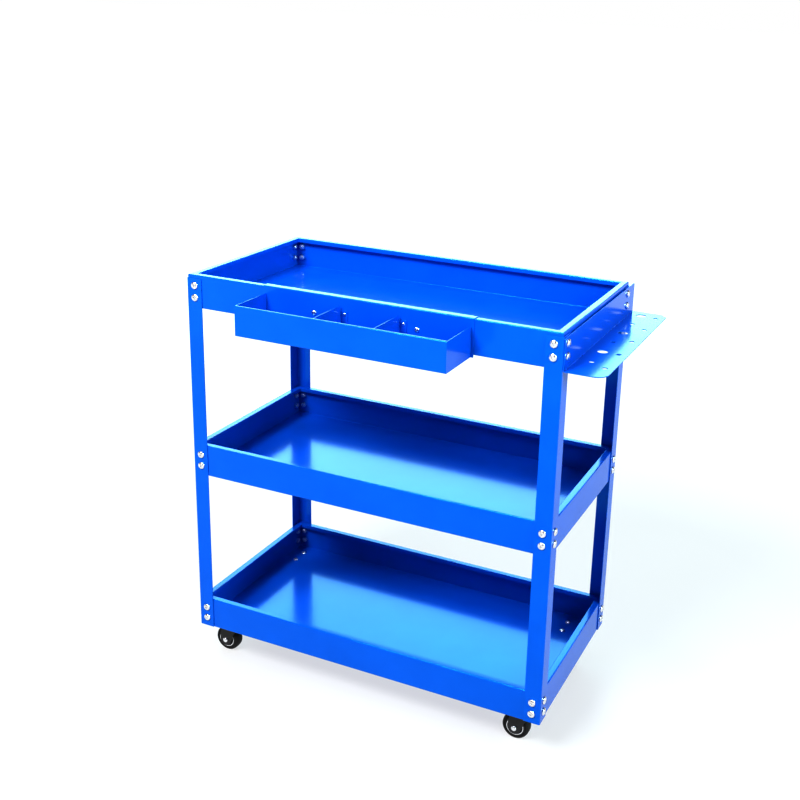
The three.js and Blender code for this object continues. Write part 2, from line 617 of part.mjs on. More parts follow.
// The fork's crown turns on the kingpin; its two legs reach down and back to the axle.
function forkGeometry() {
  const legShape = new THREE.Shape();
  legShape.moveTo(CROWN_NOSE, crownTop);
  legShape.lineTo(-CROWN_RADIUS, crownTop);
  legShape.lineTo(-CASTER_TRAIL - FORK_FOOT_RADIUS, WHEEL_RADIUS + FORK_FOOT_RADIUS);
  legShape.absarc(-CASTER_TRAIL, WHEEL_RADIUS, FORK_FOOT_RADIUS, Math.PI, 2 * Math.PI + FORK_FOOT_END);
  const section = legShape.getPoints(FORK_ARC_STEPS);
  const legs = [[-legOuterY, -legInnerY], [legInnerY, legOuterY]].map(([y0, y1]) =>
    extrudedAlongY(section, y0, y1));
  const crown = slab(crownOutline(), crownFoot, FORK_SHEET, FORK_ARC_STEPS);
  const holes = [
    bar('z', [0, 0, crownTop], KINGPIN_RADIUS + 2 * FIT_GAP, 4 * FORK_SHEET, ROUND_SIDES),
    bar('y', [-CASTER_TRAIL, 0, WHEEL_RADIUS], AXLE_HOLE_RADIUS, 4 * legOuterY, SCREW_SIDES),
  ];
  return geometryOf(cut(join(crown, ...legs), holes));
}

// The wheel turns about the local Y axis.
const tyreInnerRadius = WHEEL_RADIUS - TYRE_THICKNESS;
const hubRadius = tyreInnerRadius - FIT_GAP;

function tyreGeometry() {
  const half = TYRE_WIDTH / 2;
  const shoulder = WHEEL_RADIUS - TYRE_SHOULDER;
  return geometryOf(solidOf(turned([
    [tyreInnerRadius, -half], [shoulder, -half], [WHEEL_RADIUS, -half + TYRE_SHOULDER],
    [WHEEL_RADIUS, half - TYRE_SHOULDER], [shoulder, half], [tyreInnerRadius, half], [tyreInnerRadius, -half],
  ], WHEEL_SIDES)));
}

function hubGeometry() {
  const half = HUB_WIDTH / 2;
  const rimHalf = TYRE_WIDTH / 2;
  const web = rimHalf - HUB_WEB_RECESS;
  const bore = AXLE_HOLE_RADIUS;
  const rimInner = hubRadius - HUB_RIM_THICKNESS;
  return geometryOf(solidOf(turned([
    [bore, -half], [HUB_BOSS_RADIUS, -half], [HUB_BOSS_RADIUS, -web], [rimInner, -rimHalf],
    [hubRadius, -rimHalf], [hubRadius, rimHalf], [rimInner, rimHalf],
    [HUB_BOSS_RADIUS, web], [HUB_BOSS_RADIUS, half], [bore, half], [bore, -half],
  ], WHEEL_SIDES)));
}

// Bolt with its locking nut; the head is on the cart's front side.
function axleGeometry() {
  const headFace = -legOuterY - FIT_GAP;
  const nutFace = legOuterY + FIT_GAP;
  const nutEnd = nutFace + AXLE_NUT_HEIGHT;
  const shaft = solidOf(turned([
    ...domedHead(AXLE_HEAD_RADIUS, headFace, -AXLE_HEAD_HEIGHT),
    [AXLE_RADIUS, headFace], [AXLE_RADIUS, nutEnd], [0, nutEnd],
  ], AXLE_SIDES));
  const nut = bar('y', [0, (nutFace + nutEnd) / 2, 0], NUT_RADIUS, AXLE_NUT_HEIGHT, NUT_SIDES);
  return geometryOf(join(shaft, nut));
}

const casterParts = {
  plate: [plateGeometry(), zinc],
  kingpin: [kingpinGeometry(), zinc],
  ball_race: [raceGeometry(), blackSteel],
  fork: [forkGeometry(), blackSteel],
};
const wheelParts = {
  hub: [hubGeometry(), blackPlastic],
  tyre: [tyreGeometry(), blackRubber],
  axle: [axleGeometry(), zinc],
};

for (const [corner, { sx, sy }] of Object.entries(cornerSides)) {
  for (const [piece, [geometry, material]] of Object.entries(casterParts)) {
    addNode(`caster_${corner}_${piece}`, geometry, material).position.set(sx * kingpinX, sy * kingpinY, 0);
  }
  for (const [piece, [geometry, material]] of Object.entries(wheelParts)) {
    const mesh = addNode(`caster_${corner}_${piece}`, geometry, material);
    mesh.position.set(sx * kingpinX - CASTER_TRAIL, sy * kingpinY, WHEEL_RADIUS);
  }
}

// ---- Origin: the middle of the whole cart's box, on the floor -------------------------------------------

const box = new THREE.Box3().setFromObject(cart);
const middle = box.getCenter(new THREE.Vector3());
cart.position.set(-middle.x, -middle.y, -box.min.z);

export default cart;
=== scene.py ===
"""Open rolling tool cart: finishes, fine sheet-metal shapes, screws, casters, lights and camera."""

import math

import bmesh
import bpy
from mathutils import Matrix, Vector
from mathutils.geometry import delaunay_2d_cdt


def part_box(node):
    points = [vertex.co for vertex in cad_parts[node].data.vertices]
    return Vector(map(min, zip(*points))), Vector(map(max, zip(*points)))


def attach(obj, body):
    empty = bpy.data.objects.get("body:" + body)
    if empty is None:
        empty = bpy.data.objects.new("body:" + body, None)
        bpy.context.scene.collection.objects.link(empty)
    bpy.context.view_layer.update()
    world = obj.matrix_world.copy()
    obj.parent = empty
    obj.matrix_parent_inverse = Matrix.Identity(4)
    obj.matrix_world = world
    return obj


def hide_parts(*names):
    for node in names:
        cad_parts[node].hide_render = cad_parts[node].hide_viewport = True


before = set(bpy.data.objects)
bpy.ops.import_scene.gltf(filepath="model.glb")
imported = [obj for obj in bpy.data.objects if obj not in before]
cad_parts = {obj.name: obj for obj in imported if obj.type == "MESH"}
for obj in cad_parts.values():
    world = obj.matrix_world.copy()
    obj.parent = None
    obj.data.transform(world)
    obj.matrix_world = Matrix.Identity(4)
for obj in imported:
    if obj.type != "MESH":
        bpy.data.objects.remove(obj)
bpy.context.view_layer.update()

MM = 0.001
QUARTER = math.pi / 2

# ---- Places and sizes, in millimetres, from the frame ------------------------------------------------


def node_box(node):
    """Lowest and highest corner of a CAD node, in millimetres."""
    low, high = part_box(node)
    return low / MM, high / MM


CORNERS = {
    "front_left": (-1, -1),
    "front_right": (1, -1),
    "rear_right": (1, 1),
    "rear_left": (-1, 1),
}
LEFT, FRONT, POST_FOOT = node_box("post_front_left")[0]
RIGHT, REAR, POST_TOP = node_box("post_rear_right")[1]
MIDDLE_X = (LEFT + RIGHT) / 2
MIDDLE_Y = (FRONT + REAR) / 2
HALF_WIDTH = (RIGHT - LEFT) / 2
HALF_DEPTH = (REAR - FRONT) / 2

GAP = 0.3
POST_LEG = 30
POST_SHEET = 1.5
TRAY_SHEET = 1.0
RIM_WIDTH = 12.5
RIM_LIP = 8
TRAY_BEND = 1.0
POST_BEND = 0.8
SCREW_INSET = 16
SCREW_DROPS = {"upper": 19, "lower": 41}
TRAYS = ("bottom", "middle", "top")

# ---- Shapes: each is (points in millimetres, faces) ----------------------------------------------------


def merged(*shapes):
    points, faces = [], []
    for shape_points, shape_faces in shapes:
        base = len(points)
        points += [Vector(p) for p in shape_points]
        faces += [[base + i for i in face] for face in shape_faces]
    return points, faces


def moved(shape, matrix):
    points, faces = shape
    return [matrix @ Vector(p) for p in points], faces


def loop_area(loop):
    return sum(a.x * b.y - b.x * a.y for a, b in zip(loop, loop[1:] + loop[:1])) / 2


def inset(loop, distance):
    """A closed loop moved inwards by a distance, or outwards where it is negative."""
    side = 1 if loop_area(loop) > 0 else -1
    result = []
    for i, point in enumerate(loop):
        before = (point - loop[i - 1]).normalized()
        after = (loop[(i + 1) % len(loop)] - point).normalized()
        first = Vector((-before.y, before.x)) * side
        second = Vector((-after.y, after.x)) * side
        result.append(point + (first + second) * distance / (1 + first.dot(second)))
    return result


def rounded(points, radii, steps=4, closed=True):
    """A line whose corners are rounded; radii is one number, or one for each corner."""
    points = [Vector(p) for p in points]
    count = len(points)
    radii = [radii] * count if isinstance(radii, (int, float)) else radii
    result = []
    for i, point in enumerate(points):
        at_end = not closed and i in (0, count - 1)
        if at_end or radii[i] <= 0:
            result.append(point)
            continue
        back = points[i - 1] - point
        ahead = points[(i + 1) % count] - point
        half_turn = back.angle(ahead) / 2
        reach = min(radii[i] / math.tan(half_turn), 0.48 * back.length, 0.48 * ahead.length)
        start = point + back.normalized() * reach
        end = point + ahead.normalized() * reach
        radius = reach * math.tan(half_turn)
        inwards = (back.normalized() + ahead.normalized()).normalized()
        centre = point + inwards * (radius / math.sin(half_turn))
        from_centre, to_centre = start - centre, end - centre
        for step in range(steps + 1):
            share = step / steps
            spread = from_centre.lerp(to_centre, share)
            result.append(centre + spread.normalized() * radius if radius > 1e-6 else point)
    return result


def circle(centre, radius, sides):
    return [Vector((centre[0] + radius * math.cos(2 * math.pi * i / sides),
                    centre[1] + radius * math.sin(2 * math.pi * i / sides))) for i in range(sides)]


def lathe(profile, sides, closed=False):
    """A piece turned about Z from (radius, height) points."""
    points, rings = [], []
    for radius, height in profile:
        if radius < 1e-6:
            rings.append([len(points)])
            points.append(Vector((0, 0, height)))
            continue
        rings.append(list(range(len(points), len(points) + sides)))
        points += [Vector((p.x, p.y, height)) for p in circle((0, 0), radius, sides)]
    faces = []
    pairs = list(zip(rings, rings[1:])) + ([(rings[-1], rings[0])] if closed else [])
    for low, high in pairs:
        for i in range(sides):
            j = (i + 1) % sides
            if len(low) == 1:
                faces.append([low[0], high[j], high[i]])
            elif len(high) == 1:
                faces.append([low[i], low[j], high[0]])
            else:
                faces.append([low[i], low[j], high[j], high[i]])
    return points, faces


def turned_profile(points, radii, steps, sides, closed=True):
    """A rounded profile turned about its axis."""
    return lathe([(p.x, p.y) for p in rounded(points, radii, steps, closed)], sides, closed=closed)


def edge_round(bevel, half, steps=2):
    """(inset, level) pairs round a plate's edge, from its top face to its bottom face."""
    turns = [QUARTER * k / steps for k in range(steps + 1)]
    upper = [(bevel * (1 - math.sin(a)), half - bevel * (1 - math.cos(a))) for a in turns]
    return upper + [(i, -level) for i, level in reversed(upper)]


def prism(loop, start, end, place, bevel=0.2):
    """A loop carried from start to end along a line, with its end edges rounded. place(u, v, w) gives
    the point."""
    middle, half = (start + end) / 2, (end - start) / 2
    count = len(loop)
    points, faces = [], []
    levels = edge_round(bevel, half)
    for distance, level in levels:
        points += [place(p.x, p.y, middle + level) for p in inset(loop, distance)]
    for ring in range(len(levels) - 1):
        for i in range(count):
            j = (i + 1) % count
            a, b = ring * count, (ring + 1) * count
            faces.append([a + i, a + j, b + j, b + i])
    faces.append(list(range(count))[::-1])
    faces.append(list(range((len(levels) - 1) * count, len(levels) * count)))
    return points, faces


def folded_faces(corners, sheet, inner_radius, steps=6):
    """The two faces of a folded sheet, as lines. The corners are the sharp corners of the near face, and
    the sheet lies to the right of it."""
    corners = [Vector(c) for c in corners]

    def heading(i):
        return (corners[i + 1] - corners[i]).normalized()

    def right_of(v):
        return Vector((v.y, -v.x))

    near, far = [corners[0]], [corners[0] + right_of(heading(0)) * sheet]
    for i in range(1, len(corners) - 1):
        before, after = heading(i - 1), heading(i)
        side = 1 if before.cross(after) < 0 else -1
        near_radius = inner_radius + (sheet if side > 0 else 0)
        far_radius = inner_radius + (0 if side > 0 else sheet)
        centre = corners[i] + (right_of(before) + right_of(after)) * side * near_radius
        for step in range(steps + 1):
            turn = -side * QUARTER * step / steps
            outward = Matrix.Rotation(turn, 2) @ (right_of(before) * -side)
            near.append(centre + outward * near_radius)
            far.append(centre + outward * far_radius)
    near.append(corners[-1])
    far.append(corners[-1] + right_of(heading(len(corners) - 2)) * sheet)
    return near, far


def end_round(near, far, bevel=0.25):
    """Points round a sheet's cut edge, from its near face to its far face."""
    across = (far[-1] - near[-1]).normalized()
    back = (near[-2] - near[-1]).normalized()
    soft = bevel * 0.3
    return [near[-1] + back * bevel, near[-1] + back * soft + across * soft, near[-1] + across * bevel,
            far[-1] - across * bevel, far[-1] + back * soft - across * soft, far[-1] + back * bevel]


def sheet_loop(near, far):
    """The closed section of a folded sheet with both cut edges rounded."""
    first = end_round(near, far)
    last = end_round(near[::-1], far[::-1])
    return near[1:-1] + first + far[1:-1][::-1] + last[::-1]


def tray_shape(half_x, half_y, height):
    """A tray with walls, inward rims and return lips, as rings from under its floor to the top of it."""
    floor_end = 60
    near, far = folded_faces(
        [(floor_end, 0), (0, 0), (0, height), (RIM_WIDTH, height), (RIM_WIDTH, height - RIM_LIP)],
        TRAY_SHEET, TRAY_BEND)
    line = near[:-1] + end_round(near, far) + far[:-1][::-1]
    points, faces = [], []
    for p in line:
        x, y = half_x - p.x, half_y - p.x
        points += [(x, y, p.y), (-x, y, p.y), (-x, -y, p.y), (x, -y, p.y)]
    for ring in range(len(line) - 1):
        for i in range(4):
            j = (i + 1) % 4
            a, b = 4 * ring, 4 * ring + 4
            faces.append([a + i, a + j, b + j, b + i])
    faces.append([0, 1, 2, 3])
    last = 4 * (len(line) - 1)
    faces.append([last + 3, last + 2, last + 1, last])
    return points, faces


def path_frame(folds, u):
    """Where a flat pattern's line u lies once folded, and the sheet's normal there. A fold is (start,
    radius of the sheet's middle, turn)."""
    point, angle, reached = Vector((0, 0)), 0.0, 0.0
    for start, radius, turn in folds:
        if u <= start:
            break
        point = point + Vector((math.cos(angle), math.sin(angle))) * (start - reached)
        side = 1 if turn > 0 else -1
        length = abs(turn) * radius
        share = min(1, (u - start) / length)
        centre = point + Vector((-math.sin(angle), math.cos(angle))) * radius * side
        point = centre + Matrix.Rotation(turn * share, 2) @ (point - centre)
        angle += turn * share
        reached = start + length * share
    point = point + Vector((math.cos(angle), math.sin(angle))) * (u - reached)
    return point, Vector((-math.sin(angle), math.cos(angle)))


def inside(point, loop):
    hit = False
    for a, b in zip(loop, loop[1:] + loop[:1]):
        if (a.y > point.y) != (b.y > point.y):
            if point.x < (b.x - a.x) * (point.y - a.y) / (b.y - a.y) + a.x:
                hit = not hit
    return hit


def bent_sheet(outline, holes, sheet, folds, place, bevel=0.25, bend_steps=6):
    """A sheet cut to an outline with holes in (u, v), then folded about lines of constant u. place(p, q, v)
    gives the point, with p along the start of the sheet and q along its normal."""
    bend_lines = [start + abs(turn) * radius * k / bend_steps
                  for start, radius, turn in folds for k in range(bend_steps + 1)]

    def crossed(loop):
        result = []
        for a, b in zip(loop, loop[1:] + loop[:1]):
            result.append(a)
            shares = [(u - a.x) / (b.x - a.x) for u in bend_lines if abs(b.x - a.x) > 1e-6]
            result += [a.lerp(b, s) for s in sorted(shares) if 1e-5 < s < 1 - 1e-5]
        return result

    loops = [crossed([Vector(p) for p in outline])] + [[Vector(p) for p in hole] for hole in holes]
    rings = edge_round(bevel, sheet / 2)
    points, ring_starts = [], []
    faces = []

    def folded(uv, level):
        at, normal = path_frame(folds, uv.x)
        spot = at + normal * level
        return place(spot.x, spot.y, uv.y)

    flat, flat_edges = [], []
    for number, loop in enumerate(loops):
        sign = 1 if number == 0 else -1
        starts = []
        for distance, level in rings:
            starts.append(len(points))
            points += [folded(p, level) for p in inset(loop, distance * sign)]
        ring_starts.append(starts)
        count = len(loop)
        for a, b in zip(starts, starts[1:]):
            faces += [[a + i, a + (i + 1) % count, b + (i + 1) % count, b + i] for i in range(count)]
        base = len(flat)
        flat += inset(loop, bevel * sign)
        flat_edges += [(base + i, base + (i + 1) % count) for i in range(count)]
    for u in bend_lines:
        on_line = sorted((i for i, p in enumerate(flat) if abs(p.x - u) < 1e-4), key=lambda i: flat[i].y)
        flat_edges += list(zip(on_line, on_line[1:]))
    out, _, triangles, origins, _, _ = delaunay_2d_cdt(flat, flat_edges, [], 0, 1e-5)
    flat_loops, base = [], 0
    for loop in loops:
        flat_loops.append(flat[base:base + len(loop)])
        base += len(loop)
    places = {}
    base = 0
    for number, loop in enumerate(loops):
        for i in range(len(loop)):
            places[base + i] = (ring_starts[number][0] + i, ring_starts[number][-1] + i)
        base += len(loop)
    top, bottom = [], []
    for i, p in enumerate(out):
        if origins[i]:
            pair = places[origins[i][0]]
        else:
            points += [folded(p, sheet / 2), folded(p, -sheet / 2)]
            pair = (len(points) - 2, len(points) - 1)
        top.append(pair[0])
        bottom.append(pair[1])
    for triangle in triangles:
        middle = sum((out[i] for i in triangle), Vector((0, 0))) / 3
        if inside(middle, flat_loops[0]) and not any(inside(middle, hole) for hole in flat_loops[1:]):
            faces.append([top[i] for i in triangle])
            faces.append([bottom[i] for i in reversed(triangle)])
    return points, faces


# ---- Objects -----------------------------------------------------------------------------------------


def mesh_of(name, shape, material, sharp=35):
    points, faces = shape
    mesh = bpy.data.meshes.new(name)
    mesh.from_pydata([Vector(p) * MM for p in points], [], faces)
    work = bmesh.new()
    work.from_mesh(mesh)
    bmesh.ops.recalc_face_normals(work, faces=work.faces)
    work.to_mesh(mesh)
    work.free()
    mesh.materials.append(material)
    mesh.shade_smooth()
    mesh.set_sharp_from_angle(angle=math.radians(sharp))
    return mesh


def add_piece(name, mesh, body, replaces=(), matrix=None):
    piece = bpy.data.objects.new(name, mesh)
    bpy.context.scene.collection.objects.link(piece)
    if matrix is not None:
        piece.matrix_world = matrix
    evener = piece.modifiers.new("even_normals", "WEIGHTED_NORMAL")
    evener.keep_sharp = True
    evener.weight = 100
    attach(piece, body)
    if replaces:
        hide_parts(*replaces)
    return piece


def in_metres(x, y, z, turn=None):
    """A placing matrix from a point in millimetres and a turn."""
    matrix = Matrix.Translation(Vector((x, y, z)) * MM)
    return matrix @ turn if turn else matrix


# ---- Materials ---------------------------------------------------------------------------------------


def new_material(name, colour, metallic, roughness, **sockets):
    material = bpy.data.materials.new(name)
    material.use_nodes = True
    shader = material.node_tree.nodes["Principled BSDF"]
    shader.inputs["Base Color"].default_value = (*colour, 1)
    shader.inputs["Metallic"].default_value = metallic
    shader.inputs["Roughness"].default_value = roughness
    for socket, value in sockets.items():
        shader.inputs[socket.replace("_", " ")].default_value = value
    return material, shader


def noise(material, scale, detail=3.0, stretch=(1, 1, 1)):
    """A noise value over the object, in metres."""
    nodes, links = material.node_tree.nodes, material.node_tree.links
    place = nodes.new("ShaderNodeTexCoord")
    mapping = nodes.new("ShaderNodeMapping")
    mapping.inputs["Scale"].default_value = stretch
    texture = nodes.new("ShaderNodeTexNoise")
    texture.inputs["Scale"].default_value = scale
    texture.inputs["Detail"].default_value = detail
    links.new(place.outputs["Object"], mapping.inputs["Vector"])
    links.new(mapping.outputs["Vector"], texture.inputs["Vector"])
    return texture.outputs["Fac"]


def spread(material, value, low, high):
    """A value mapped from 0.3 ... 0.7 to a range."""
    node = material.node_tree.nodes.new("ShaderNodeMapRange")
    node.inputs["From Min"].default_value = 0.3
    node.inputs["From Max"].default_value = 0.7
    node.inputs["To Min"].default_value = low
    node.inputs["To Max"].default_value = high
    material.node_tree.links.new(value, node.inputs["Value"])
    return node.outputs["Result"]


def colour_between(material, value, first, second):
    node = material.node_tree.nodes.new("ShaderNodeMix")
    node.data_type = "RGBA"
    node.inputs["A"].default_value = (*first, 1)
    node.inputs["B"].default_value = (*second, 1)
    links = material.node_tree.links
    links.new(value, node.inputs["Factor"])
    return node.outputs["Result"]


def add_bump(material, shader, layers):
    """Bump from (value, height in metres) layers, one over the other."""
    nodes, links = material.node_tree.nodes, material.node_tree.links
    last = None
    for value, height in layers:
        bump = nodes.new("ShaderNodeBump")
        bump.inputs["Strength"].default_value = 1.0
        bump.inputs["Distance"].default_value = height
        links.new(value, bump.inputs["Height"])
        if last:
            links.new(last, bump.inputs["Normal"])
        last = bump.outputs["Normal"]
    links.new(last, shader.inputs["Normal"])


def powder_coat():
    material, shader = new_material(
        "blue_powder_coat", (0.0, 0.1, 0.52), 0.0, 0.15,
        Specular_IOR_Level=0.7, Specular_Tint=(0.05, 0.65, 1.0, 1))
    cloud = noise(material, 14, 4)
    grain = noise(material, 900, 2)
    links = material.node_tree.links
    tone = spread(material, cloud, 0, 1)
    links.new(colour_between(material, tone, (0.0, 0.094, 0.5), (0.001, 0.105, 0.54)),
              shader.inputs["Base Color"])
    links.new(spread(material, grain, 0.11, 0.2), shader.inputs["Roughness"])
    add_bump(material, shader, [(noise(material, 6, 1), 0.00012), (grain, 0.000012)])
    return material


def zinc_plate():
    material, shader = new_material("zinc_plated_steel", (0.82, 0.83, 0.85), 1.0, 0.24)
    links = material.node_tree.links
    cloud = noise(material, 260, 3)
    fine = noise(material, 2400, 2)
    tone = spread(material, cloud, 0, 1)
    links.new(colour_between(material, tone, (0.74, 0.75, 0.77), (0.88, 0.88, 0.9)),
              shader.inputs["Base Color"])
    links.new(spread(material, fine, 0.18, 0.34), shader.inputs["Roughness"])
    add_bump(material, shader, [(fine, 0.000006)])
    return material


def black_steel():
    material, shader = new_material("black_steel", (0.012, 0.012, 0.013), 0.0, 0.35, Specular_IOR_Level=0.5)
    links = material.node_tree.links
    cloud = noise(material, 120, 3)
    grain = noise(material, 1600, 2)
    tone = spread(material, cloud, 0, 1)
    links.new(colour_between(material, tone, (0.009, 0.009, 0.01), (0.018, 0.018, 0.02)),
              shader.inputs["Base Color"])
    links.new(spread(material, grain, 0.28, 0.45), shader.inputs["Roughness"])
    add_bump(material, shader, [(grain, 0.00001)])
    return material


def black_plastic():
    material, shader = new_material("black_plastic", (0.01, 0.01, 0.011), 0.0, 0.45, Specular_IOR_Level=0.45)
    links = material.node_tree.links
    grain = noise(material, 2600, 2)
    tone = spread(material, noise(material, 90, 3), 0, 1)
    links.new(colour_between(material, tone, (0.008, 0.008, 0.009), (0.014, 0.014, 0.015)),
              shader.inputs["Base Color"])
    links.new(spread(material, grain, 0.38, 0.55), shader.inputs["Roughness"])
    add_bump(material, shader, [(grain, 0.000012)])
    return material


def black_rubber():
    material, shader = new_material("black_rubber", (0.008, 0.008, 0.008), 0.0, 0.6, Specular_IOR_Level=0.35)
    links = material.node_tree.links
    grain = noise(material, 1800, 3)
    tone = spread(material, noise(material, 60, 4), 0, 1)
    links.new(colour_between(material, tone, (0.006, 0.006, 0.006), (0.013, 0.013, 0.012)),
              shader.inputs["Base Color"])
    links.new(spread(material, grain, 0.5, 0.72), shader.inputs["Roughness"])
    add_bump(material, shader, [(grain, 0.00003)])
    return material


BLUE = powder_coat()
ZINC = zinc_plate()
STEEL = black_steel()
PLASTIC = black_plastic()
RUBBER = black_rubber()

# ---- Posts and trays ---------------------------------------------------------------------------------

post_near, post_far = folded_faces([(POST_LEG, 0), (0, 0), (0, POST_LEG)], POST_SHEET, POST_BEND)
post_mesh = mesh_of("post", prism(
    sheet_loop(post_near, post_far), 0, POST_TOP - POST_FOOT, lambda u, v, w: Vector((u, v, w))), BLUE)
TURNS = {"front_left": 0, "front_right": QUARTER, "rear_right": math.pi, "rear_left": -QUARTER}
for corner, (sx, sy) in CORNERS.items():
    place = in_metres(MIDDLE_X + sx * HALF_WIDTH, MIDDLE_Y + sy * HALF_DEPTH, POST_FOOT,
                      Matrix.Rotation(TURNS[corner], 4, "Z"))
    add_piece(f"corner_post_{corner}", post_mesh, "cart", [f"post_{corner}"], place)

tray_low, tray_high = node_box("middle_tray")
tray_mesh = mesh_of("tray", tray_shape(
    (tray_high.x - tray_low.x) / 2, (tray_high.y - tray_low.y) / 2, tray_high.z - tray_low.z), BLUE)
for tier in TRAYS:
    foot = node_box(f"{tier}_tray")[0].z
    add_piece(f"{tier}_shelf_tray", tray_mesh, "cart", [f"{tier}_tray"],
              in_metres(MIDDLE_X, MIDDLE_Y, foot))

# ---- Parts tray --------------------------------------------------------------------------------------

parts_low, parts_high = node_box("parts_tray_body")
BACK_OVERLAP = 5
HOOK_LIP = 6
PARTS_HEM = 4
parts_left = parts_low.x + BACK_OVERLAP
parts_right = parts_high.x - BACK_OVERLAP
parts_front = parts_low.y
parts_foot = parts_low.z
hook_top = parts_high.z
parts_back = node_box("top_tray")[0].y - GAP
parts_top = hook_top - TRAY_SHEET - GAP - 12
hook_end = parts_high.y - TRAY_SHEET


def along_x(u, v, w):
    return Vector((w, u, v))


back_near, back_far = folded_faces(
    [(hook_end, hook_top - TRAY_SHEET - HOOK_LIP), (hook_end, hook_top - TRAY_SHEET),
     (parts_back, hook_top - TRAY_SHEET), (parts_back, parts_foot)], TRAY_SHEET, TRAY_BEND)
pan_near, pan_far = folded_faces(
    [(parts_back - TRAY_SHEET, parts_foot), (parts_front, parts_foot),
     (parts_front, parts_top), (parts_front + PARTS_HEM, parts_top)], TRAY_SHEET, TRAY_BEND)
side_outline = rounded(
    [(parts_back - TRAY_SHEET, parts_foot), (parts_front, parts_foot), (parts_front, parts_top),
     (parts_back - TRAY_SHEET, parts_top)], [0, 2, 2, 0], 6)
parts_shapes = [
    prism(sheet_loop(back_near, back_far), parts_low.x, parts_high.x, along_x),
    prism(sheet_loop(pan_near, pan_far), parts_left + TRAY_SHEET, parts_right - TRAY_SHEET, along_x, 0.05),
    prism(side_outline, parts_left, parts_left + TRAY_SHEET, along_x),
    prism(side_outline, parts_right - TRAY_SHEET, parts_right, along_x),
]
add_piece("hung_parts_tray", mesh_of("hung_parts_tray", merged(*parts_shapes), BLUE), "cart",
          ["parts_tray_body"])

TAB_DROP = 8
HEM_NOTCH = (3.0, 1.3)
FOOT_NOTCH = 2.0
for side in ("left", "right"):
    node = f"parts_tray_divider_{side}"
    low, high = node_box(node)
    reach, rise = high.y - low.y, high.z - low.z
    fold = reach - 2
    arc = QUARTER * 1.5
    tab_end = fold + arc + (high.x - low.x) - 2
    outline = rounded(
        [(0, FOOT_NOTCH), (FOOT_NOTCH, 0), (fold - 1, 0), (fold - 1, TAB_DROP), (tab_end, TAB_DROP),
         (tab_end, rise - TAB_DROP), (fold - 1, rise - TAB_DROP), (fold - 1, rise), (HEM_NOTCH[0], rise),
         (HEM_NOTCH[0], rise - HEM_NOTCH[1]), (0, rise - HEM_NOTCH[1])],
        [0.3, 0.3, 1, 0.4, 2.5, 2.5, 0.4, 1, 0.3, 0.3, 0.3])
    shape = bent_sheet(
        outline, [], TRAY_SHEET, [(fold, 1.5, -QUARTER)],
        lambda p, q, v: Vector((low.x + TRAY_SHEET / 2 - q, low.y + p, low.z + v)), 0.2)
    add_piece(f"divider_plate_{side}", mesh_of(node, shape, BLUE), "cart", [node])

# ---- Screwdriver rack --------------------------------------------------------------------------------

rack_low, rack_high = node_box("screwdriver_rack")
RACK_SHEET = 1.5
RACK_BEND = 0.8
flange_straight = rack_high.z - rack_low.z - RACK_BEND - RACK_SHEET
bend_radius = RACK_BEND + RACK_SHEET / 2
shelf_start = flange_straight + QUARTER * bend_radius
rack_far = shelf_start + rack_high.x - rack_low.x - RACK_BEND - RACK_SHEET
rack_length = rack_high.y - rack_low.y


def shelf_spot(from_posts, from_front):
    """A place on the rack's flat pattern, from the posts' side plane and the shelf's front edge."""
    return shelf_start + (RIGHT + from_posts) - (rack_low.x + RACK_BEND + RACK_SHEET), from_front


rack_holes = [circle(shelf_spot(53, 47 + 77.5 * i), 4.5, 28) for i in range(5)]
rack_holes += [circle(shelf_spot(25, 68 + 59 * i), 9.0 if i % 2 else 4.5, 36) for i in range(6)]
rack_outline = rounded(
    [(0, 0), (rack_far, 0), (rack_far, rack_length - 12), (rack_far - 12, rack_length), (0, rack_length)],
    [4, 20, 2, 2, 4], 10)
rack_shape = bent_sheet(
    rack_outline, rack_holes, RACK_SHEET, [(flange_straight, bend_radius, QUARTER)],
    lambda p, q, v: Vector((rack_low.x + RACK_SHEET / 2 + q, rack_low.y + v, rack_high.z - p)), 0.3)
add_piece("tool_rack", mesh_of("tool_rack", rack_shape, BLUE), "cart",
          ["screwdriver_rack"])

# ---- Screws and nuts ---------------------------------------------------------------------------------


def hex_nut(radius, low, high, chamfer=0.5):
    """A nut about Z with its corners turned off at both ends."""
    flat = radius * math.cos(math.pi / 6)
    rings = []
    for level, size in ((low, flat), (low + chamfer, radius), (high - chamfer, radius), (high, flat)):
        ring = []
        for i in range(24):
            angle = 2 * math.pi * i / 24
            from_flat = (angle + math.pi / 6) % (math.pi / 3) - math.pi / 6
            ring.append((min(size, flat / math.cos(from_flat)), angle, level))
        rings.append(ring)
    points = [Vector((r * math.cos(a), r * math.sin(a), z)) for ring in rings for r, a, z in ring]
    faces = []
    for k in range(3):
        for i in range(24):
            j = (i + 1) % 24
            faces.append([24 * k + i, 24 * k + j, 24 * k + 24 + j, 24 * k + 24 + i])
    faces.append(list(range(24))[::-1])
    faces.append(list(range(72, 96)))
    return points, faces


def thread(radius, start, end, pitch=1.0):
    """A screw's shank about Z, with a ridge for each turn near its end, from start down to end."""
    profile = [(0, start), (radius, start)]
    level = start
    while level > end + 2 * pitch:
        profile += [(radius, level - 0.25 * pitch), (radius * 0.87, level - 0.6 * pitch)]
        level -= pitch
        profile.append((radius, level))
    profile += [(radius, end + 0.8), (radius * 0.75, end), (0, end)]
    return lathe(profile, 20)


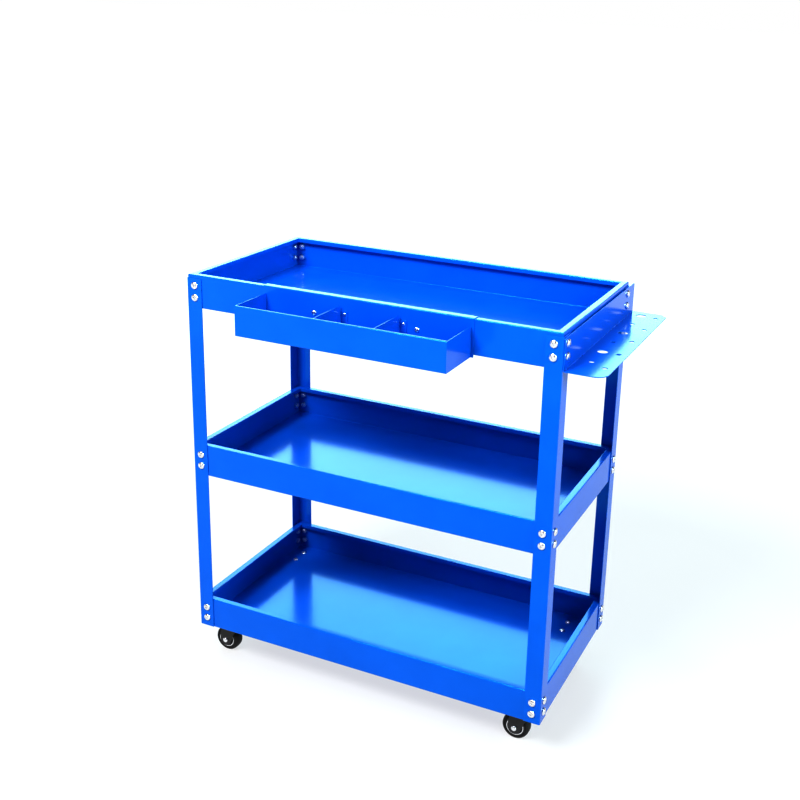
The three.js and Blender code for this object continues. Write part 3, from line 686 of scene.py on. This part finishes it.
def cross_cutter(length, width, depth, top):
    """Two crossed tapered blades, for a cross recess cut from above."""
    blades = []
    for turn in (0, QUARTER):
        half, foot = length / 2, length / 5
        loop = [(-half, width / 2), (half, width / 2), (half, -width / 2), (-half, -width / 2)]
        low = [(-foot, width / 3), (foot, width / 3), (foot, -width / 3), (-foot, -width / 3)]
        points = [Vector((x, y, top + 1)) for x, y in loop] + [Vector((x, y, top - depth)) for x, y in low]
        faces = [[0, 1, 2, 3], [7, 6, 5, 4]]
        faces += [[i, (i + 1) % 4, (i + 1) % 4 + 4, i + 4] for i in range(4)]
        blades.append(moved((points, faces), Matrix.Rotation(turn, 4, "Z")))
    return blades


def cut_from(mesh, cutters):
    """The mesh with closed shapes cut out of it."""
    target = bpy.data.objects.new("cut_target", mesh)
    bpy.context.scene.collection.objects.link(target)
    helpers = []
    for number, shape in enumerate(cutters):
        cutter = bpy.data.objects.new(f"cutter_{number}", mesh_of("cutter", shape, mesh.materials[0]))
        bpy.context.scene.collection.objects.link(cutter)
        helpers.append(cutter)
        step = target.modifiers.new("cut", "BOOLEAN")
        step.operation = "DIFFERENCE"
        step.solver = "EXACT"
        step.object = cutter
    bpy.context.view_layer.update()
    result = bpy.data.meshes.new_from_object(target.evaluated_get(bpy.context.evaluated_depsgraph_get()))
    for helper in [target, *helpers]:
        bpy.data.objects.remove(helper)
    result.shade_smooth()
    result.set_sharp_from_angle(angle=math.radians(35))
    return result


def screw_mesh(name, head_radius, head_height, radius, grip, nut_radius, nut_height, tip, recess):
    """A pan-head screw about Z with its head up, its underside at 0, and its nut below the grip."""
    head = turned_profile(
        [(0, head_height), (head_radius * 0.55, head_height * 0.94), (head_radius * 0.9, head_height * 0.58),
         (head_radius, 0.15 * head_height), (head_radius, 0), (0, 0)],
        [0, 3, 1.5, 0.5, 0.15, 0], 3, 36, closed=False)
    head_piece = cut_from(mesh_of(name + "_head", head, ZINC), cross_cutter(*recess, head_height))
    nut_foot = -grip - nut_height
    rest = mesh_of(name + "_rest", merged(
        thread(radius, -0.02, nut_foot - tip), hex_nut(nut_radius, nut_foot, -grip)), ZINC)
    work = bmesh.new()
    work.from_mesh(head_piece)
    work.from_mesh(rest)
    joined = bpy.data.meshes.new(name)
    work.to_mesh(joined)
    work.free()
    joined.materials.append(ZINC)
    joined.shade_smooth()
    joined.set_sharp_from_angle(angle=math.radians(35))
    return joined


HEAD_RADIUS = 6.75
HEAD_HEIGHT = 3.4
SCREW_RADIUS = 3
SCREW_TIP = 1.5
NUT_RADIUS = 5.7
NUT_HEIGHT = 5
CROSS_RECESS = (5.6, 1.5, 2.0)


def corner_screw_mesh(name, grip):
    return screw_mesh(name, HEAD_RADIUS, HEAD_HEIGHT, SCREW_RADIUS, grip,
                      NUT_RADIUS, NUT_HEIGHT, SCREW_TIP, CROSS_RECESS)


corner_grip = POST_SHEET + GAP + TRAY_SHEET + 2 * GAP
screw_plain = corner_screw_mesh("corner_screw", corner_grip)
screw_rack = corner_screw_mesh("rack_screw", corner_grip + RACK_SHEET + GAP)
DIRECTIONS = {
    (0, -1): Matrix.Rotation(QUARTER, 4, "X"),
    (0, 1): Matrix.Rotation(-QUARTER, 4, "X"),
    (-1, 0): Matrix.Rotation(-QUARTER, 4, "Y"),
    (1, 0): Matrix.Rotation(QUARTER, 4, "Y"),
}
turn_number = 0
for tier in TRAYS:
    rim = node_box(f"{tier}_tray")[1].z
    for corner, (sx, sy) in CORNERS.items():
        for place_name, drop in SCREW_DROPS.items():
            for facing in ("face", "side"):
                on_rack = tier == "top" and facing == "side" and sx > 0
                stand_off = GAP + (RACK_SHEET + GAP if on_rack else 0)
                if facing == "face":
                    out_x, out_y = -SCREW_INSET, stand_off
                    direction = DIRECTIONS[(0, sy)]
                else:
                    out_x, out_y = stand_off, -SCREW_INSET
                    direction = DIRECTIONS[(sx, 0)]
                spot = (MIDDLE_X + sx * (HALF_WIDTH + out_x), MIDDLE_Y + sy * (HALF_DEPTH + out_y))
                turn_number += 1
                driven = Matrix.Rotation(turn_number * 2.4, 4, "Z")
                node = f"screw_{corner}_{facing}_{place_name}"
                add_piece(f"{tier}_{node}", screw_rack if on_rack else screw_plain, "cart",
                          [node] if tier == "top" else [],
                          in_metres(*spot, rim - drop, direction @ driven))

parts_grip = 2 * TRAY_SHEET + 3 * GAP
parts_screw = screw_mesh("parts_tray_screw", 4.5, 2.4, 2.5, parts_grip, 4.6, 4, 1.5, (4.0, 1.1, 1.5))
for side in ("left", "right"):
    node = f"parts_tray_screw_{side}"
    low, high = node_box(node)
    add_piece(f"fixing_{node}", parts_screw, "cart", [node],
              in_metres((low.x + high.x) / 2, low.y + 2.4, (low.z + high.z) / 2, DIRECTIONS[(0, -1)]))

RIVET_RADIUS = 3.1
RIVET_HEIGHT = 1.3
rivet_mesh = mesh_of("divider_rivet", turned_profile(
    [(0, RIVET_HEIGHT), (2.2, 1.0), (RIVET_RADIUS, 0.35), (RIVET_RADIUS, 0), (0, 0)],
    [0, 2, 0.8, 0.1, 0], 3, 24, closed=False), ZINC)
for side in ("left", "right"):
    low, high = node_box(f"parts_tray_divider_{side}")
    for level in (0.3, 0.7):
        add_piece(f"divider_rivet_{side}_{'low' if level < 0.5 else 'high'}", rivet_mesh, "cart",
                  [], in_metres(low.x + 8, high.y - TRAY_SHEET,
                                                     low.z + (high.z - low.z) * level, DIRECTIONS[(0, -1)]))

# ---- Casters -----------------------------------------------------------------------------------------

PLATE_PITCH = 33
PLATE_SHEET = 2.5
BOLT_HEAD_RADIUS = 5.6
BOLT_HEAD_HEIGHT = 3.0
BOLT_NUT_RADIUS = 5.5
BOLT_NUT_HEIGHT = 3.8
BOLT_TIP = 0.8
BOLT_RECESS = (4.6, 1.3, 1.8)
caster_bolt = screw_mesh("caster_bolt", BOLT_HEAD_RADIUS, BOLT_HEAD_HEIGHT, SCREW_RADIUS,
                         TRAY_SHEET + PLATE_SHEET + 3 * GAP, BOLT_NUT_RADIUS, BOLT_NUT_HEIGHT,
                         BOLT_TIP, BOLT_RECESS)


def turned_y(shape):
    """A shape turned about Z laid along Y."""
    return moved(shape, Matrix.Rotation(QUARTER, 4, "X"))


PLATE_LOW, PLATE_HIGH = node_box("caster_front_left_plate")
RACE_LOW, RACE_HIGH = node_box("caster_front_left_ball_race")
PIN_LOW, PIN_HIGH = node_box("caster_front_left_kingpin")
HUB_LOW, HUB_HIGH = node_box("caster_front_left_hub")
TYRE_LOW, TYRE_HIGH = node_box("caster_front_left_tyre")
AXLE_LOW, AXLE_HIGH = node_box("caster_front_left_axle")
KINGPIN = (PIN_LOW + PIN_HIGH) / 2
WHEEL_CENTRE = (TYRE_LOW + TYRE_HIGH) / 2
TRAIL = KINGPIN.x - WHEEL_CENTRE.x
PLATE_CORNER = 6
PLATE_HOLE_RADIUS = 3.3
PIN_HOLE_RADIUS = 8.3
PIN_RADIUS = 5
PIN_HEAD_RADIUS = 8
PIN_HEAD_HEIGHT = 2.5
RACE_BORE = 5.6
RACE_RADIUS = 17
RACE_GROOVE_RADIUS = 14.6
RACE_UPPER_RADIUS = 16.4
FORK_SHEET = 2.5
FORK_BEND = 1.5
FOOT_RADIUS = 12
FOOT_TURN = math.radians(-20)
LEG_MIDDLE = 12 + FORK_SHEET / 2
CROWN_TOP = node_box("caster_front_left_fork")[1].z
CROWN_RADIUS = 18
CROWN_NOSE = 14.4
CROWN_HOLE_RADIUS = 5.6
AXLE_RADIUS = 3
AXLE_HOLE_RADIUS = 3.5
AXLE_HEAD_RADIUS = 5
AXLE_HEAD_HEIGHT = 3
AXLE_NUT_HEIGHT = 4.5


def plate_shape():
    """The mounting plate, about the kingpin's axis, with four bolt holes and the pin's hole."""
    half = (PLATE_HIGH.x - PLATE_LOW.x) / 2
    reach = PLATE_PITCH / 2
    middle = (PLATE_LOW.z + PLATE_HIGH.z) / 2
    signs = ((-1, -1), (1, -1), (1, 1), (-1, 1))
    corners = [(sx * half, sy * half) for sx, sy in signs]
    holes = [circle((sx * reach, sy * reach), PLATE_HOLE_RADIUS, 20) for sx, sy in signs]
    holes.append(circle((0, 0), PIN_HOLE_RADIUS, 32))
    return bent_sheet(rounded(corners, PLATE_CORNER, 6), holes, PLATE_HIGH.z - PLATE_LOW.z, [],
                      lambda p, q, v: Vector((p, v, middle + q)), 0.4)


def pin_shape():
    """The kingpin: a low head under the crown, a shank and a riveted end in the plate."""
    low, top = PIN_LOW.z, PIN_HIGH.z
    head = low + PIN_HEAD_HEIGHT
    return turned_profile(
        [(0, low), (6.2, low), (PIN_HEAD_RADIUS, low + 1.0), (PIN_HEAD_RADIUS, head), (PIN_RADIUS, head),
         (PIN_RADIUS, PLATE_LOW.z), (8, top - 0.05), (7.4, top), (0, top)],
        [0, 1, 0.5, 0.2, 0, 0, 0.2, 0.2, 0], 3, 32, closed=False)


def race_shape():
    """The ball race: an upper and a lower cup with the gap between them as a groove."""
    low, high = RACE_LOW.z, RACE_HIGH.z
    middle = (low + high) / 2
    return turned_profile(
        [(RACE_BORE, low), (RACE_RADIUS - 1.5, low), (RACE_RADIUS, low + 1.2), (RACE_RADIUS, middle - 0.5),
         (RACE_GROOVE_RADIUS, middle - 0.5), (RACE_GROOVE_RADIUS, middle + 0.5),
         (RACE_UPPER_RADIUS, middle + 0.5), (RACE_UPPER_RADIUS, high - 0.8), (15.6, high), (RACE_BORE, high)],
        [0, 0.8, 0.8, 0.3, 0, 0, 0.3, 0.3, 0.3, 0], 3, 48)


def fork_shape():
    """The fork's flat pattern: foot, leg, crown, leg, foot, folded over the wheel."""
    radius = FORK_BEND + FORK_SHEET / 2
    leg_straight = CROWN_TOP - FORK_BEND - FORK_SHEET - WHEEL_CENTRE.z
    arc = QUARTER * radius
    crown_straight = 2 * (LEG_MIDDLE - radius)
    first_fold = leg_straight
    second_fold = leg_straight + arc + crown_straight
    total = second_fold + arc + leg_straight
    half = total / 2
    rise = CROWN_TOP - WHEEL_CENTRE.z
    foot = [Vector((-FOOT_RADIUS * math.sin(a), -TRAIL + FOOT_RADIUS * math.cos(a)))
            for a in [-FOOT_TURN + (math.pi + FOOT_TURN) * k / 16 for k in range(17)]]
    shoulder_rear = Vector((rise - FORK_BEND - FORK_SHEET, -CROWN_RADIUS - 1.0))
    shoulder_nose = Vector((rise - FORK_BEND - FORK_SHEET, CROWN_NOSE - 1.5))
    nose = []
    for k in range(9):
        y = -9 + 18 * k / 8
        nose.append(Vector((half + y, max(CROWN_NOSE, math.sqrt(CROWN_RADIUS ** 2 - y ** 2)))))
    left = [shoulder_nose] + foot + [Vector((FOOT_RADIUS, -TRAIL - FOOT_RADIUS)), shoulder_rear]
    right = [Vector((total - p.x, p.y)) for p in reversed(left)]
    crown_rear = [Vector((first_fold + arc, -CROWN_RADIUS)), Vector((second_fold, -CROWN_RADIUS))]
    crown_nose = [Vector((second_fold, CROWN_NOSE))] + nose[::-1] + [Vector((first_fold + arc, CROWN_NOSE))]
    outline = left + crown_rear + right + crown_nose
    holes = [circle((0, -TRAIL), AXLE_HOLE_RADIUS, 20), circle((total, -TRAIL), AXLE_HOLE_RADIUS, 20),
             circle((half, 0), CROWN_HOLE_RADIUS, 32)]
    folds = [(first_fold, radius, QUARTER), (second_fold, radius, QUARTER)]

    def place(p, q, v):
        return Vector((v, LEG_MIDDLE - q, WHEEL_CENTRE.z + p))

    return bent_sheet(outline, holes, FORK_SHEET, folds, place, 0.35)


def wheel_shapes():
    """Tyre, hub and one thin ring, turned about the wheel's axis. The ring's zinc colour is a painted
    highlight along the hub's rim.
    """
    tyre_half = (TYRE_HIGH.y - TYRE_LOW.y) / 2
    radius = (TYRE_HIGH.z - TYRE_LOW.z) / 2
    hub_half = (HUB_HIGH.y - HUB_LOW.y) / 2
    hub_radius = (HUB_HIGH.z - HUB_LOW.z) / 2
    inner = hub_radius + GAP
    side = [(inner, 0.6 - tyre_half), (inner + 1.4, -tyre_half), (radius - 3.5, -tyre_half),
            (radius - 0.6, 2.6 - tyre_half), (radius, -3)]
    tyre = side + [(r, -y) for r, y in reversed(side)]
    tyre_radii = [0.3, 0.8, 2.2, 2.5, 2]
    rim = tyre_half - 0.2
    side = [(AXLE_HOLE_RADIUS, -hub_half), (7, -hub_half), (7.6, -7.4), (9.5, -7), (12.6, -7),
            (13.4, 0.8 - rim), (hub_radius - 1.2, -rim), (hub_radius, 0.8 - rim)]
    hub = side + [(r, -y) for r, y in reversed(side)]
    # A thin ring on the hub's face, made zinc as a painted highlight along the hub's rim.
    ring = [(14.4, -rim - 0.05), (14.4, -rim - 0.75), (16.0, -rim - 0.75), (16.0, -rim - 0.05)]
    return [turned_profile(tyre, tyre_radii + tyre_radii[::-1], 4, 72),
            turned_profile(hub, 0.4, 3, 72),
            turned_profile(ring, [0.1, 0.35, 0.35, 0.1], 4, 72)]


def axle_shape():
    """The axle bolt with its domed head, and its nut with a locking collar."""
    low = AXLE_LOW.y - WHEEL_CENTRE.y
    high = AXLE_HIGH.y - WHEEL_CENTRE.y
    head = low + AXLE_HEAD_HEIGHT
    nut = high - AXLE_NUT_HEIGHT
    bolt = turned_profile(
        [(0, low), (3.2, low + 0.25), (4.7, low + 1.1), (AXLE_HEAD_RADIUS, low + 2), (AXLE_HEAD_RADIUS, head),
         (AXLE_RADIUS, head), (AXLE_RADIUS, high - 0.6), (2.3, high), (0, high)],
        [0, 1.5, 1, 0.4, 0.15, 0, 0.3, 0.2, 0], 3, 28, closed=False)
    collar = turned_profile(
        [(AXLE_RADIUS, nut + 3.0), (4.9, nut + 3.0), (4.7, nut + 4.2), (3.4, nut + 4.4),
         (AXLE_RADIUS, nut + 4.4)],
        [0, 0, 0.5, 0.3, 0], 3, 28)
    return merged(bolt, hex_nut(NUT_RADIUS, nut, nut + 3.1), collar)


tyre_shape, hub_shape, highlight_ring_shape = wheel_shapes()
far_highlight_ring = moved(highlight_ring_shape, Matrix.Rotation(math.pi, 4, "X"))
plate_mesh = mesh_of("caster_plate", plate_shape(), STEEL)
pin_mesh = mesh_of("caster_kingpin", pin_shape(), ZINC)
race_mesh = mesh_of("caster_race", race_shape(), STEEL)
fork_mesh = mesh_of("caster_fork", fork_shape(), STEEL)
tyre_mesh = mesh_of("caster_tyre", turned_y(tyre_shape), RUBBER)
hub_mesh = mesh_of("caster_hub", turned_y(hub_shape), PLASTIC)
# Zinc rings on both hub faces: a painted highlight along each hub's rim.
highlight_ring_mesh = mesh_of("caster_highlight_ring", turned_y(merged(highlight_ring_shape, far_highlight_ring)), ZINC)
axle_mesh = mesh_of("caster_axle", moved(axle_shape(), Matrix.Rotation(-QUARTER, 4, "X")), ZINC)

for corner, (sx, sy) in CORNERS.items():
    low, high = node_box(f"caster_{corner}_kingpin")
    pin_x, pin_y = (low.x + high.x) / 2, (low.y + high.y) / 2
    at_pin = in_metres(pin_x, pin_y, 0)
    at_wheel = in_metres(pin_x - TRAIL, pin_y, WHEEL_CENTRE.z)
    fork_body, wheel_body = f"{corner}_fork", f"{corner}_wheel"
    node = f"caster_{corner}_"
    add_piece(f"swivel_plate_{corner}", plate_mesh, "cart", [node + "plate"], at_pin)
    add_piece(f"swivel_pin_{corner}", pin_mesh, "cart", [node + "kingpin"], at_pin)
    add_piece(f"swivel_race_{corner}", race_mesh, "cart", [node + "ball_race"], at_pin)
    add_piece(f"wheel_fork_{corner}", fork_mesh, fork_body, [node + "fork"], at_pin)
    add_piece(f"wheel_axle_{corner}", axle_mesh, fork_body, [node + "axle"], at_wheel)
    add_piece(f"wheel_hub_{corner}", hub_mesh, wheel_body, [node + "hub"], at_wheel)
    # The zinc rings ride on the wheel as a painted highlight along the hub's rim.
    add_piece(f"wheel_highlight_rings_{corner}", highlight_ring_mesh, wheel_body, [], at_wheel)
    add_piece(f"wheel_tyre_{corner}", tyre_mesh, wheel_body, [node + "tyre"], at_wheel)
    bolt_level = node_box("bottom_tray")[0].z + TRAY_SHEET + 0.05
    for number, side in enumerate((-1, 1), 1):
        add_piece(f"caster_bolt_{corner}_{number}", caster_bolt, "cart", [],
                  in_metres(pin_x - PLATE_PITCH / 2, pin_y + side * PLATE_PITCH / 2, bolt_level,
                            Matrix.Rotation(number * 1.3 + sx, 4, "Z")))

# ---- Floor, lights and camera ------------------------------------------------------------------------


def make_floor():
    mesh = bpy.data.meshes.new("floor")
    reach = 40.0
    mesh.from_pydata([(-reach, -reach, 0), (reach, -reach, 0), (reach, reach, 0), (-reach, reach, 0)], [],
                     [(0, 1, 2, 3)])
    material, shader = new_material("pale_floor", (0.16, 0.16, 0.16), 0.0, 0.6, Specular_IOR_Level=0.1,
                                    Emission_Color=(1, 1, 1, 1), Emission_Strength=0.72)
    nodes, links = material.node_tree.nodes, material.node_tree.links
    tone = spread(material, noise(material, 3, 2), 0, 1)
    links.new(colour_between(material, tone, (0.155, 0.155, 0.155), (0.165, 0.165, 0.165)),
              shader.inputs["Base Color"])
    place = nodes.new("ShaderNodeTexCoord")
    away = nodes.new("ShaderNodeVectorMath")
    away.operation = "LENGTH"
    glow = nodes.new("ShaderNodeMapRange")
    glow.inputs["From Min"].default_value = 0.9
    glow.inputs["From Max"].default_value = 3.0
    glow.inputs["To Min"].default_value = 0.72
    glow.inputs["To Max"].default_value = 1.0
    links.new(place.outputs["Object"], away.inputs[0])
    links.new(away.outputs["Value"], glow.inputs["Value"])
    links.new(glow.outputs["Result"], shader.inputs["Emission Strength"])
    mesh.materials.append(material)
    floor = bpy.data.objects.new("studio_floor", mesh)
    bpy.context.scene.collection.objects.link(floor)


def area_light(name, place, target, size, power, colour=(1, 1, 1)):
    data = bpy.data.lights.new(name, "AREA")
    data.shape = "RECTANGLE"
    data.size, data.size_y = size
    data.energy = power
    data.color = colour
    light = bpy.data.objects.new(name, data)
    light.location = place
    light.visible_camera = False
    light.rotation_euler = (Vector(target) - Vector(place)).to_track_quat("-Z", "Y").to_euler()
    bpy.context.scene.collection.objects.link(light)


def set_world(horizon, above):
    """A white world, brighter at the horizon than overhead."""
    world = bpy.data.worlds.new("studio")
    bpy.context.scene.world = world
    world.use_nodes = True
    nodes, links = world.node_tree.nodes, world.node_tree.links
    background = nodes["Background"]
    background.inputs["Color"].default_value = (1, 1, 1, 1)
    place = nodes.new("ShaderNodeTexCoord")
    parts = nodes.new("ShaderNodeSeparateXYZ")
    height = nodes.new("ShaderNodeMapRange")
    height.inputs["From Min"].default_value = 0.02
    height.inputs["From Max"].default_value = 0.3
    height.inputs["To Min"].default_value = horizon
    height.inputs["To Max"].default_value = above
    links.new(place.outputs["Generated"], parts.inputs["Vector"])
    links.new(parts.outputs["Z"], height.inputs["Value"])
    links.new(height.outputs["Result"], background.inputs["Strength"])


def make_camera():
    """The camera: where it stands, what it looks at, its roll, focal length and frame shift."""
    place = Vector((0.81609, -1.69773, 1.26948))
    target = Vector((0.06736, 0.001, 0.68591))
    roll = 0.033
    forward = (target - place).normalized()
    level = forward.cross(Vector((0, 0, 1))).normalized()
    up = level.cross(forward)
    right = level * math.cos(roll) + up * math.sin(roll)
    up = up * math.cos(roll) - level * math.sin(roll)
    data = bpy.data.cameras.new("camera")
    data.sensor_width = 36
    data.lens = 50.254
    data.shift_x = -0.0665
    data.shift_y = -0.0796
    data.clip_end = 200
    camera = bpy.data.objects.new("camera", data)
    camera.matrix_world = Matrix((
        (right.x, up.x, -forward.x, place.x),
        (right.y, up.y, -forward.y, place.y),
        (right.z, up.z, -forward.z, place.z),
        (0, 0, 0, 1)))
    bpy.context.scene.collection.objects.link(camera)
    bpy.context.scene.camera = camera


make_floor()
area_light("main_softbox", (-0.7, -2.2, 2.9), (0, 0, 0.45), (1.4, 1.0), 215)
area_light("overhead", (0.3, 0.1, 3.0), (0, 0, 0.4), (1.8, 1.5), 30)
area_light("right", (2.6, -0.6, 1.9), (0, 0, 0.4), (1.0, 1.2), 100, (0.7, 0.95, 1.0))
area_light("back_panel", (-1.9, 3.8, 2.9), (0, 0, 0.4), (4.4, 2.8), 235, (0.55, 0.92, 1.0))
set_world(1.0, 0.08)
make_camera()
view = bpy.context.scene.view_settings
view.view_transform = "Standard"
view.look = "None"
view.exposure = 0.0
view.gamma = 0.7
